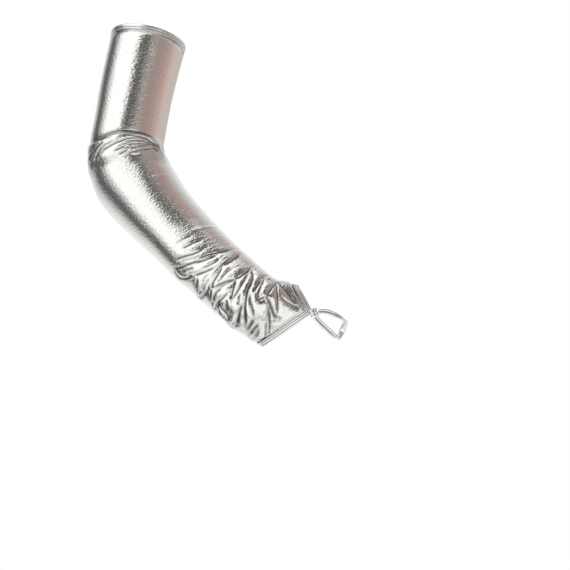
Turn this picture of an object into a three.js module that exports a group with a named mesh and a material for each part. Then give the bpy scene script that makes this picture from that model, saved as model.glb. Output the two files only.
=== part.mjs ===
// Long fingerless evening mitten in foil-coated stretch knit, in the form that a bent arm gives it.
// A tube of cloth runs from a narrow hem on the upper arm, over the elbow and down the forearm, bunches at the
// wrist, and ends in a point on the back of the hand. A folded binding edges the hand opening. At the point a sewn
// crossing joins it to a loop for the middle finger.
// Millimetres, +Z up, +X towards the hand, the back of the hand facing -Y. The origin is the centre of the arm
// opening.
import * as THREE from 'three';

// Cloth and clearances
const CLOTH = 1.2; // wall of the knit
const HEM_THICKNESS = 2.2; // two layers and the turned edge
const SEAM_GAP = 0.3; // clearance between pieces that are sewn together

// Lengths along the centreline of the arm
const UPPER_LENGTH = 137; // arm opening to the elbow
const FOREARM_LENGTH = 234; // elbow to wrist
const HAND_LENGTH = 22; // wrist to the sides of the hand hem
const POINT_LENGTH = 30; // sides of the hand hem to its point
const ELBOW_CURVE = 46; // stretch that the elbow bends over
const WRIST_CURVE = 24; // stretch that the wrist bends over

// Headings in the front view, degrees below +X, and leans towards the front
const UPPER_HEADING = 102;
const FOREARM_HEADING = 54;
const WRIST_HEADING = 39;
const HAND_HEADING = 20;
const UPPER_LEAN = 18;
const FOREARM_LEAN = 24;

// Widths across the front view and depths from front to back
const OPENING_WIDTH = 79;
const OPENING_DEPTH = 80;
const ELBOW_WIDTH = 78;
const ELBOW_DEPTH = 78;
const FOREARM_WIDTH = 73;
const FOREARM_DEPTH = 70;
const WRIST_WIDTH = 62;
const WRIST_DEPTH = 46;
const HAND_WIDTH = 70;
const HAND_DEPTH = 36;

// Hems and binding
const UPPER_HEM_WIDTH = 5.8;
const BINDING_WIDTH = 6.2;
const BINDING_THICKNESS = 2.4;
const POINT_ANGLE = 65; // where the point lies round the hand, from the thumb side

// Finger loop
const STRAP_WIDTH = 5.6;
const STRAP_THICKNESS = 2;
const LOOP_REACH = 34; // point of the hem to the web of the fingers
const LOOP_HEADING = 28; // degrees below +X in the front view
const FINGER_WIDTH = 20; // between the middles of the strap's two sides
const FINGER_DEPTH = 19;
const CROSSING_SIZE = 8;
const CROSSING_THICKNESS = 1.8;

// Depths of the folds
const ELBOW_FOLD = 3;
const WRIST_FOLD = 5;

const SILVER = { color: 0xc9cac8, roughness: 0.32, metalness: 0.9 };

const ELBOW = UPPER_LENGTH;
const WRIST = ELBOW + FOREARM_LENGTH;
const HAND_HEM = WRIST + HAND_LENGTH;
const POINT = HAND_HEM + POINT_LENGTH;
const DEGREE = Math.PI / 180;
const STEP = 1; // station step of the integrated centreline
const FIRST_ANGLE = -20; // the folded front of the sleeve lies between these angles round the arm
const LAST_ANGLE = 200;

const PATH = [
  { at: 0, heading: UPPER_HEADING, lean: UPPER_LEAN },
  { at: ELBOW - ELBOW_CURVE / 2, heading: UPPER_HEADING, lean: UPPER_LEAN },
  { at: ELBOW + ELBOW_CURVE / 2, heading: FOREARM_HEADING, lean: FOREARM_LEAN },
  { at: WRIST - WRIST_CURVE / 2, heading: WRIST_HEADING, lean: FOREARM_LEAN },
  { at: WRIST + WRIST_CURVE / 2, heading: HAND_HEADING, lean: 0 },
  { at: POINT + POINT_LENGTH, heading: HAND_HEADING, lean: 0 },
];

// inner is the share of the width that lies on the thumb side of the centreline
const SECTIONS = [
  { at: 0, width: OPENING_WIDTH, depth: OPENING_DEPTH, inner: 0.5 },
  { at: 0.45 * ELBOW, width: 0.97 * OPENING_WIDTH, depth: 0.97 * OPENING_DEPTH, inner: 0.5 },
  { at: 0.8 * ELBOW, width: 0.97 * ELBOW_WIDTH, depth: ELBOW_DEPTH, inner: 0.53 },
  { at: ELBOW, width: ELBOW_WIDTH, depth: ELBOW_DEPTH, inner: 0.53 },
  { at: ELBOW + 0.11 * FOREARM_LENGTH, width: 1.06 * ELBOW_WIDTH, depth: ELBOW_DEPTH, inner: 0.48 },
  { at: ELBOW + 0.32 * FOREARM_LENGTH, width: FOREARM_WIDTH, depth: FOREARM_DEPTH, inner: 0.47 },
  { at: ELBOW + 0.55 * FOREARM_LENGTH, width: 0.9 * FOREARM_WIDTH, depth: 0.84 * FOREARM_DEPTH, inner: 0.5 },
  { at: ELBOW + 0.8 * FOREARM_LENGTH, width: WRIST_WIDTH, depth: WRIST_DEPTH, inner: 0.5 },
  { at: WRIST, width: WRIST_WIDTH, depth: WRIST_DEPTH, inner: 0.5 },
  { at: HAND_HEM, width: HAND_WIDTH, depth: HAND_DEPTH, inner: 0.5 },
  { at: POINT, width: 1.06 * HAND_WIDTH, depth: 0.92 * HAND_DEPTH, inner: 0.5 },
];

// Outer edge of the hand hem: shares of the point's length at the two sides of the hand. It runs straight from
// each side to the point, as seen from the front, and straight across the palm.
const THUMB_SIDE_SHARE = 0.22;
const LITTLE_SIDE_SHARE = -0.2;

// The cloth rolls over the bent elbow between two lines that run round the arm and draw together in the crook.
// Their places are shares of the elbow's curve, counted from the elbow.
const ELBOW_LINES = [
  { angle: FIRST_ANGLE, top: 0.55, bottom: 0.82 },
  { angle: 6, top: 0.4, bottom: 0.78 },
  { angle: 22, top: -0.05, bottom: 0.72 },
  { angle: 38, top: -0.37, bottom: 0.64 },
  { angle: 50, top: -0.46, bottom: 0.56 },
  { angle: 82, top: -0.38, bottom: 0.48 },
  { angle: 110, top: -0.28, bottom: 0.3 },
  { angle: 132, top: -0.24, bottom: 0.2 },
  { angle: LAST_ANGLE, top: -0.28, bottom: 0.14 },
];

const FULL_ROOM = 0.5; // where the lines are nearer to each other than this, the rolls are lower

// Rolls between the two lines: place and breadth as shares of the space between them, height of the elbow's fold
const ELBOW_ROLLS = [
  { place: 0.14, breadth: 0.24, from: 2, to: 186, height: 1 },
  { place: 0.38, breadth: 0.2, from: 8, to: 170, height: 0.85 },
  { place: 0.56, breadth: 0.16, from: 22, to: 136, height: 0.6 },
  { place: 0.74, breadth: 0.14, from: 30, to: 112, height: 0.45 },
  { place: 0.93, breadth: 0.12, from: 24, to: 96, height: 0.35 },
];

// Folds of the forearm and wrist, each a leaf that runs between two ends. Places are shares of the forearm's
// length, counted from the elbow; width is a share of the wrist's width and height of the wrist's fold.
const FOLDS = [
  { from: 0.535, fromAngle: 106, to: 0.6, toAngle: 52, width: 0.07, height: 0.22 },
  { from: 0.56, fromAngle: 112, to: 0.65, toAngle: 38, width: 0.08, height: 0.26 },
  { from: 0.585, fromAngle: 130, to: 0.68, toAngle: 48, width: 0.08, height: 0.28 },
  { from: 0.61, fromAngle: 144, to: 0.75, toAngle: 26, width: 0.09, height: 0.34 },
  { from: 0.64, fromAngle: 156, to: 0.785, toAngle: 74, width: 0.1, height: 0.42 },
  { from: 0.79, fromAngle: 158, to: 0.765, toAngle: 84, width: 0.2, height: 0.9 },
  { from: 0.81, fromAngle: 122, to: 0.84, toAngle: 10, width: 0.2, height: 1 },
  { from: 0.86, fromAngle: 158, to: 0.88, toAngle: 80, width: 0.15, height: 0.7 },
  { from: 0.925, fromAngle: 114, to: 0.88, toAngle: 36, width: 0.12, height: 0.55 },
  { from: 0.87, fromAngle: 22, to: 1.01, toAngle: 142, width: 0.13, height: 0.9 },
  { from: 0.95, fromAngle: 18, to: 1.02, toAngle: 146, width: 0.12, height: 0.8 },
  { from: 0.9, fromAngle: 160, to: 0.96, toAngle: 112, width: 0.11, height: 0.45 },
  { from: 0.99, fromAngle: 6, to: 1.01, toAngle: 78, width: 0.13, height: 0.55 },
  { from: 1, fromAngle: 18, to: 1.09, toAngle: 96, width: 0.12, height: 0.75 },
  { from: 1.01, fromAngle: 66, to: 1.075, toAngle: 142, width: 0.13, height: 0.9 },
  { from: 1.03, fromAngle: 8, to: 1.18, toAngle: 62, width: 0.09, height: 0.5 },
  { from: 1.08, fromAngle: 54, to: 1.13, toAngle: 94, width: 0.2, height: 0.4 },
];
const HEM_FADE = 0.9; // the folds die out over this many binding widths before the binding

// Middle line of the finger loop from one end to the other: shares of the loop's reach, of half the finger's
// width and of its depth
const LOOP_LINE = [
  { reach: 0.11, side: 0.34, drop: 0 },
  { reach: 0.35, side: 0.74, drop: 0.02 },
  { reach: 0.65, side: 0.9, drop: 0.12 },
  { reach: 0.9, side: 1, drop: 0.4 },
  { reach: 1, side: 0.8, drop: 0.8 },
  { reach: 1.02, side: 0, drop: 1 },
  { reach: 1, side: -0.8, drop: 0.8 },
  { reach: 0.94, side: -1, drop: 0.4 },
  { reach: 0.72, side: -0.92, drop: 0.12 },
  { reach: 0.38, side: -0.66, drop: 0.02 },
  { reach: 0.11, side: -0.34, drop: 0 },
];

function between(rows, key, x, name) {
  const last = rows.length - 1;
  if (x <= rows[0][key]) return rows[0][name];
  if (x >= rows[last][key]) return rows[last][name];
  const i = rows.findIndex((row) => row[key] > x) - 1;
  const share = (x - rows[i][key]) / (rows[i + 1][key] - rows[i][key]);
  return rows[i][name] + share * (rows[i + 1][name] - rows[i][name]);
}

function smoothly(rows, x, name) {
  const next = rows.findIndex((row) => row.at > x);
  const i = next < 0 ? rows.length - 2 : Math.max(0, next - 1);
  const [a, b] = [rows[i], rows[i + 1]];
  const before = rows[Math.max(0, i - 1)];
  const after = rows[Math.min(rows.length - 1, i + 2)];
  const span = b.at - a.at;
  const share = Math.max(0, Math.min(1, (x - a.at) / span));
  const slopeA = (b[name] - before[name]) / (b.at - before.at);
  const slopeB = (after[name] - a[name]) / (after.at - a.at);
  const square = share * share;
  const cube = square * share;
  return (
    (2 * cube - 3 * square + 1) * a[name] +
    (cube - 2 * square + share) * span * slopeA +
    (3 * square - 2 * cube) * b[name] +
    (cube - square) * span * slopeB
  );
}

const centreline = (() => {
  const points = [new THREE.Vector3()];
  for (let s = 0; s < POINT + POINT_LENGTH; s += STEP) {
    points.push(points[points.length - 1].clone().addScaledVector(direction(s + STEP / 2), STEP));
  }
  return points;
})();

function direction(s) {
  const heading = between(PATH, 'at', s, 'heading') * DEGREE;
  const lean = between(PATH, 'at', s, 'lean') * DEGREE;
  const flat = Math.cos(lean);
  return new THREE.Vector3(flat * Math.cos(heading), -Math.sin(lean), -flat * Math.sin(heading));
}

// Centre and axes of the arm's section at a station: along the arm, to its thumb side and to its front
function frameAt(s) {
  const i = Math.max(0, Math.min(centreline.length - 2, Math.floor(s / STEP)));
  const centre = centreline[i].clone().lerp(centreline[i + 1], s / STEP - i);
  const along = direction(s);
  const front = new THREE.Vector3(0, -1, 0).addScaledVector(along, along.y).normalize();
  const side = new THREE.Vector3().crossVectors(front, along).normalize();
  return { centre, along, side, front };
}

function halfSizes(s) {
  const width = smoothly(SECTIONS, s, 'width');
  const inner = smoothly(SECTIONS, s, 'inner');
  return { inner: width * inner, outer: width * (1 - inner), deep: smoothly(SECTIONS, s, 'depth') / 2 };
}

// Point of the cloth at a station and an angle, lifted off its middle surface by lift
function clothPoint(s, angle, lift) {
  const { centre, side, front } = frameAt(s);
  const sizes = halfSizes(s);
  const wide = Math.cos(angle) > 0 ? sizes.inner : sizes.outer;
  const [c, d] = [Math.cos(angle), Math.sin(angle)];
  const normal = new THREE.Vector2(c / wide, d / sizes.deep).normalize();
  const raised = lift + relief(s, angle);
  return centre
    .addScaledVector(side, wide * c + raised * normal.x)
    .addScaledVector(front, sizes.deep * d + raised * normal.y);
}

// Rounded top of a fold, from 1 along its middle to 0 at its edges
function arch(x) {
  return Math.max(0, 1 - x * x) ** 0.7;
}

// Height of the folds over the smooth form of the arm
function relief(s, angle) {
  const degrees = FIRST_ANGLE + THREE.MathUtils.euclideanModulo(angle / DEGREE - FIRST_ANGLE, 360);
  const room = hemStation(angle) - BINDING_WIDTH * hemSlope(angle) - s;
  const fade = THREE.MathUtils.smoothstep(room, 0, HEM_FADE * BINDING_WIDTH);
  const heights = [elbowRelief(s, degrees), ...FOLDS.map((fold) => foldRelief(fold, s, degrees))];
  return fade * Math.max(...heights);
}

function elbowRelief(s, degrees) {
  const top = ELBOW + ELBOW_CURVE * between(ELBOW_LINES, 'angle', degrees, 'top');
  const bottom = ELBOW + ELBOW_CURVE * between(ELBOW_LINES, 'angle', degrees, 'bottom');
  const place = (s - top) / (bottom - top);
  const room = Math.min(1, (bottom - top) / (FULL_ROOM * ELBOW_CURVE));
  const heights = ELBOW_ROLLS.map((roll) => {
    const middle = (roll.from + roll.to) / 2;
    const reach = arch((degrees - middle) / (middle - roll.from));
    return roll.height * reach * arch((place - roll.place) / roll.breadth);
  });
  return ELBOW_FOLD * room * Math.max(...heights);
}

function foldRelief(fold, s, degrees) {
  const radius = (WRIST_WIDTH + WRIST_DEPTH) / 4;
  const start = new THREE.Vector2(ELBOW + fold.from * FOREARM_LENGTH, fold.fromAngle * DEGREE * radius);
  const run = new THREE.Vector2(ELBOW + fold.to * FOREARM_LENGTH, fold.toAngle * DEGREE * radius).sub(start);
  const here = new THREE.Vector2(s, degrees * DEGREE * radius).sub(start);
  const share = here.dot(run) / run.lengthSq();
  const away = Math.abs(here.cross(run)) / run.length();
  const swell = arch(2 * share - 1);
  if (swell === 0) return 0;
  return WRIST_FOLD * fold.height * swell * arch(away / (0.5 * fold.width * WRIST_WIDTH * Math.sqrt(swell)));
}

function hemStation(angle) {
  const across = Math.cos(angle);
  const peak = Math.cos(POINT_ANGLE * DEGREE);
  const mix = THREE.MathUtils.lerp;
  const ends = mix(LITTLE_SIDE_SHARE, THUMB_SIDE_SHARE, (across + 1) / 2);
  const thumbSide = mix(1, THUMB_SIDE_SHARE, (across - peak) / (1 - peak));
  const littleSide = mix(LITTLE_SIDE_SHARE, 1, (across + 1) / (peak + 1));
  const share = Math.sin(angle) < 0 ? ends : Math.min(thumbSide, littleSide);
  return HAND_HEM + POINT_LENGTH * share;
}

// The hem runs aslant, so its band is longer along the arm than it is wide
function hemSlope(angle) {
  const nudge = 2 * DEGREE;
  const { inner, deep } = halfSizes(HAND_HEM);
  const stretch = nudge * Math.hypot(inner * Math.sin(angle), deep * Math.cos(angle));
  const here = hemStation(angle);
  const rises = [hemStation(angle + nudge) - here, here - hemStation(angle - nudge)].map(Math.abs);
  return Math.hypot(1, Math.max(...rises) / stretch);
}

// Closed solid between two grids of points, inner[i][j] and outer[i][j]
function shell(inner, outer, ring) {
  const rows = inner.length;
  const columns = inner[0].length;
  const positions = [...inner.flat(), ...outer.flat()].flatMap((p) => [p.x, p.y, p.z]);
  const index = [];
  const at = (layer, i, j) => layer * rows * columns + i * columns + (j % columns);
  const quad = (a, b, c, d) => index.push(a, b, c, a, c, d);
  const spans = ring ? columns : columns - 1;
  for (let j = 0; j < spans; j += 1) {
    for (let i = 0; i < rows - 1; i += 1) {
      quad(at(1, i, j), at(1, i, j + 1), at(1, i + 1, j + 1), at(1, i + 1, j));
      quad(at(0, i, j), at(0, i + 1, j), at(0, i + 1, j + 1), at(0, i, j + 1));
    }
    quad(at(0, 0, j), at(0, 0, j + 1), at(1, 0, j + 1), at(1, 0, j));
    const end = rows - 1;
    quad(at(1, end, j), at(1, end, j + 1), at(0, end, j + 1), at(0, end, j));
  }
  if (!ring) {
    const far = columns - 1;
    for (let i = 0; i < rows - 1; i += 1) {
      quad(at(1, i, 0), at(1, i + 1, 0), at(0, i + 1, 0), at(0, i, 0));
      quad(at(0, i, far), at(0, i + 1, far), at(1, i + 1, far), at(1, i, far));
    }
  }
  const geometry = new THREE.BufferGeometry();
  geometry.setAttribute('position', new THREE.Float32BufferAttribute(positions, 3));
  geometry.setIndex(volume(positions, index) > 0 ? index : index.reverse());
  return geometry;
}

function volume(positions, index) {
  const corner = (k) => new THREE.Vector3().fromArray(positions, 3 * index[k]);
  let sum = 0;
  for (let k = 0; k < index.length; k += 3) {
    sum += corner(k).dot(corner(k + 1).cross(corner(k + 2)));
  }
  return sum;
}

function range(count, from, to) {
  return Array.from({ length: count + 1 }, (_, i) => from + ((to - from) * i) / count);
}

// Columns of the mesh round the arm, closer over the folded front, with one at the point of the hem
const COLUMNS = [
  { to: POINT_ANGLE, count: 13 },
  { to: LAST_ANGLE, count: 21 },
  { to: FIRST_ANGLE + 360, count: 9 },
];

// Rows of the mesh along the arm, closer over the elbow and the wrist
const BLEND = WRIST - 0.05 * FOREARM_LENGTH; // from here the rows lean over into the slant of the hand hem
const ROWS = [
  { to: ELBOW - 0.8 * ELBOW_CURVE, count: 4 },
  { to: ELBOW + 0.9 * ELBOW_CURVE, count: 18 },
  { to: ELBOW + 0.47 * FOREARM_LENGTH, count: 4 },
  { to: ELBOW + 0.72 * FOREARM_LENGTH, count: 11 },
  { to: BLEND, count: 14 },
];
const HAND_ROWS = 11;
const LOOP_STEPS = 30;

// Values from the first one up to the end of each stretch, without the last one
function divided(first, stretches) {
  return stretches.flatMap(({ to, count }, i) => range(count, i ? stretches[i - 1].to : first, to).slice(0, -1));
}

const angles = divided(FIRST_ANGLE, COLUMNS).map((degrees) => degrees * DEGREE);
const stations = divided(UPPER_HEM_WIDTH + SEAM_GAP, ROWS);

function band(rows, thickness) {
  const layer = (lift) => rows.map((row) => row.map((s, j) => clothPoint(s, angles[j], lift)));
  return shell(layer(-thickness / 2), layer(thickness / 2), true);
}

function sleeve() {
  const body = stations.map((s) => angles.map(() => s));
  const hand = range(HAND_ROWS, 0, 1).map((share) =>
    angles.map((angle) => {
      const end = hemStation(angle) - (BINDING_WIDTH + SEAM_GAP) * hemSlope(angle);
      return BLEND + share * (end - BLEND);
    }),
  );
  return band([...body, ...hand], CLOTH);
}

function upperHem() {
  const edge = (s) => angles.map(() => s);
  return band([edge(0), edge(UPPER_HEM_WIDTH)], HEM_THICKNESS);
}

function handBinding() {
  const edge = (width) => angles.map((angle) => hemStation(angle) - width * hemSlope(angle));
  return band([edge(BINDING_WIDTH), edge(0)], BINDING_THICKNESS);
}

// The point of the hem, with axes along the middle finger, to its thumb side and outwards from the hand
const finger = (() => {
  const heading = LOOP_HEADING * DEGREE;
  const origin = clothPoint(POINT, POINT_ANGLE * DEGREE, 0);
  const along = new THREE.Vector3(Math.cos(heading), 0, -Math.sin(heading));
  const outward = clothPoint(POINT, POINT_ANGLE * DEGREE, 1).sub(origin);
  outward.addScaledVector(along, -outward.dot(along)).normalize();
  const side = new THREE.Vector3().crossVectors(outward, along);
  return { origin, along, side, outward };
})();

// A square tack that lies over the point of the binding and over both ends of the loop
function crossing() {
  const half = CROSSING_SIZE / 2;
  const bevel = CROSSING_THICKNESS / 4;
  const edge = half - bevel;
  const outline = new THREE.Shape([
    new THREE.Vector2(-edge, -edge),
    new THREE.Vector2(edge, -edge),
    new THREE.Vector2(edge, edge),
    new THREE.Vector2(-edge, edge),
  ]);
  const geometry = new THREE.ExtrudeGeometry(outline, {
    depth: CROSSING_THICKNESS - 2 * bevel,
    bevelThickness: bevel,
    bevelSize: bevel,
    bevelSegments: 1,
  });
  const lift = BINDING_THICKNESS / 2 + SEAM_GAP + bevel;
  const turn = new THREE.Matrix4().makeBasis(finger.along, finger.side, finger.outward);
  geometry.rotateZ(45 * DEGREE);
  geometry.applyMatrix4(turn);
  geometry.translate(...finger.origin.clone().addScaledVector(finger.outward, lift));
  return geometry;
}

function fingerLoop() {
  const line = new THREE.CatmullRomCurve3(
    LOOP_LINE.map(({ reach, side, drop }) =>
      finger.origin
        .clone()
        .addScaledVector(finger.along, reach * LOOP_REACH)
        .addScaledVector(finger.side, (side * FINGER_WIDTH) / 2)
        .addScaledVector(finger.outward, -drop * FINGER_DEPTH),
    ),
  );
  const sections = range(LOOP_STEPS, 0, 1).map((share) => {
    const middle = line.getPointAt(share);
    const tangent = line.getTangentAt(share);
    const offset = middle.clone().sub(finger.origin);
    const turn = Math.PI * THREE.MathUtils.clamp(-offset.dot(finger.outward) / FINGER_DEPTH, 0, 1);
    const facing = finger.outward.clone().multiplyScalar(Math.cos(turn));
    facing.addScaledVector(finger.side, Math.sign(offset.dot(finger.side)) * Math.sin(turn));
    facing.addScaledVector(tangent, -facing.dot(tangent)).normalize();
    const across = new THREE.Vector3().crossVectors(tangent, facing);
    const corner = (u, v) =>
      middle
        .clone()
        .addScaledVector(across, (u * STRAP_WIDTH) / 2)
        .addScaledVector(facing, (v * STRAP_THICKNESS) / 2);
    return { inner: [corner(-1, -1), corner(1, -1)], outer: [corner(-1, 1), corner(1, 1)] };
  });
  return shell(sections.map((row) => row.inner), sections.map((row) => row.outer), false);
}

function mesh(name, geometry) {
  geometry.computeVertexNormals();
  const made = new THREE.Mesh(geometry, new THREE.MeshStandardMaterial(SILVER));
  made.name = name;
  return made;
}

const mitten = new THREE.Group();
mitten.add(mesh('sleeve', sleeve()));
mitten.add(mesh('upper_hem', upperHem()));
mitten.add(mesh('hand_binding', handBinding()));
mitten.add(mesh('crossing', crossing()));
mitten.add(mesh('finger_loop', fingerLoop()));

export default mitten;
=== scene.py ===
"""Long fingerless evening mitten in silver foil knit, in the bent form of the arm that wears it."""
import math

import bpy
import numpy as np
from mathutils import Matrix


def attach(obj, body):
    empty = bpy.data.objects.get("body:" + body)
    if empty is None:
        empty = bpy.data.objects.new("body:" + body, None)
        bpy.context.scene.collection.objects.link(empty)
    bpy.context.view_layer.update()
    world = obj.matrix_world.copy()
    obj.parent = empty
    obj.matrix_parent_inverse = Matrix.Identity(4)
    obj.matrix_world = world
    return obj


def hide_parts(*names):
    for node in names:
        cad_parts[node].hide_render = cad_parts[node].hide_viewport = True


MM = 0.001

# Cloths and clearances, in millimetres
CLOTH = 1.2
SEAM_GAP = 0.3

# The arm: places along its centreline
ELBOW = 137
FOREARM = 234
WRIST = ELBOW + FOREARM
HAND_HEM = WRIST + 22
POINT_LENGTH = 30
POINT = HAND_HEM + POINT_LENGTH
ELBOW_CURVE = 46
WRIST_CURVE = 24

# The bends of the centreline: place, heading, lean towards the camera
PATH = [
    (0, 102, 18),
    (ELBOW - ELBOW_CURVE / 2, 102, 18),
    (ELBOW + ELBOW_CURVE / 2, 54, 24),
    (WRIST - WRIST_CURVE / 2, 39, 24),
    (WRIST + WRIST_CURVE / 2, 20, 0),
]
PATH_PLACES, PATH_HEADINGS, PATH_LEANS = zip(*PATH)

# Sections: place, width across the front view, depth, share of the width on the thumb side
SECTIONS = [
    (0, 79, 80, 0.5),
    (0.45 * ELBOW, 76.63, 77.6, 0.5),
    (0.8 * ELBOW, 75.66, 78, 0.53),
    (ELBOW, 78, 78, 0.53),
    (ELBOW + 0.11 * FOREARM, 82.68, 78, 0.48),
    (ELBOW + 0.32 * FOREARM, 73, 70, 0.47),
    (ELBOW + 0.55 * FOREARM, 65.7, 58.8, 0.5),
    (ELBOW + 0.8 * FOREARM, 62, 46, 0.5),
    (WRIST, 62, 46, 0.5),
    (HAND_HEM, 70, 36, 0.5),
    (POINT, 74.2, 33.12, 0.5),
]

# Hems, binding and finger loop
UPPER_HEM_WIDTH = 5.8
BINDING_WIDTH = 6.2
BINDING_THICKNESS = 2.4
HEM_THICKNESS = 2.2
POINT_ANGLE = 65
THUMB_SIDE_SHARE = 0.22
LITTLE_SIDE_SHARE = -0.2
LOOP_REACH = 34
LOOP_HEADING = 28
FINGER_WIDTH = 20
FINGER_DEPTH = 19
CROSSING_SIZE = 8
LOOP_LINE = [
    (0.11, 0.34, 0),
    (0.35, 0.74, 0.02),
    (0.65, 0.9, 0.12),
    (0.9, 1, 0.4),
    (1, 0.8, 0.8),
    (1.02, 0, 1),
    (1, -0.8, 0.8),
    (0.94, -1, 0.4),
    (0.72, -0.92, 0.12),
    (0.38, -0.66, 0.02),
    (0.11, -0.34, 0),
]

# Sewn grooves: places as shares of each band's width, and half the width of the painted shade in them as such
# a share
HEM_GROOVE = 0.66
BINDING_GROOVES = (0.32, 0.68)
GROOVE_SHADE_SHARE = 0.055

# Way round the finger loop
STRAP_LENGTH = 110

# The cloth that rolls over the bent elbow lies between two lines round the arm: angle, top and bottom, both
# as shares of the forearm counted from the elbow
ELBOW_ROLL_EDGES = [
    (-20, 0.1, 0.18),
    (6, 0.056, 0.17),
    (20, 0.004, 0.165),
    (36, -0.034, 0.15),
    (48, -0.056, 0.13),
    (62, -0.064, 0.12),
    (80, -0.06, 0.105),
    (96, -0.056, 0.07),
    (124, -0.043, 0.05),
    (142, -0.043, 0.05),
    (188, -0.056, 0.06),
    (220, -0.03, 0.04),
]
ELBOW_ROLL_HEIGHT = 3.8

# Height that the bunched cloth stands over the arm: share of the forearm, millimetres
BUNCH = [
    (0.48, 0),
    (0.54, 0.9),
    (0.6, 1.8),
    (0.7, 2.6),
    (0.77, 3.8),
    (0.84, 4.6),
    (0.95, 4.4),
    (1.04, 3.6),
    (1.12, 2.4),
    (1.25, 1.6),
]
BUNCH_ROUND = [(-40, 0.1), (-12, 0.4), (20, 0.85), (50, 1), (140, 1), (160, 0.8), (200, 0.5), (320, 0.1)]

# Where the bunched cloth ends towards the little finger's side: share of the forearm, degrees. The peaks are
# the tips of its puffs
BUNCH_EDGE = [
    (0.5, 160),
    (0.655, 151),
    (0.69, 139),
    (0.718, 122),
    (0.745, 137),
    (0.775, 153),
    (0.79, 136),
    (0.803, 122),
    (0.83, 134),
    (0.862, 147),
    (0.88, 138),
    (0.9, 146),
    (0.93, 150),
    (0.966, 157),
    (0.99, 143),
    (1.004, 142),
    (1.021, 154),
    (1.04, 147),
    (1.068, 147),
    (1.2, 140),
]

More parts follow.
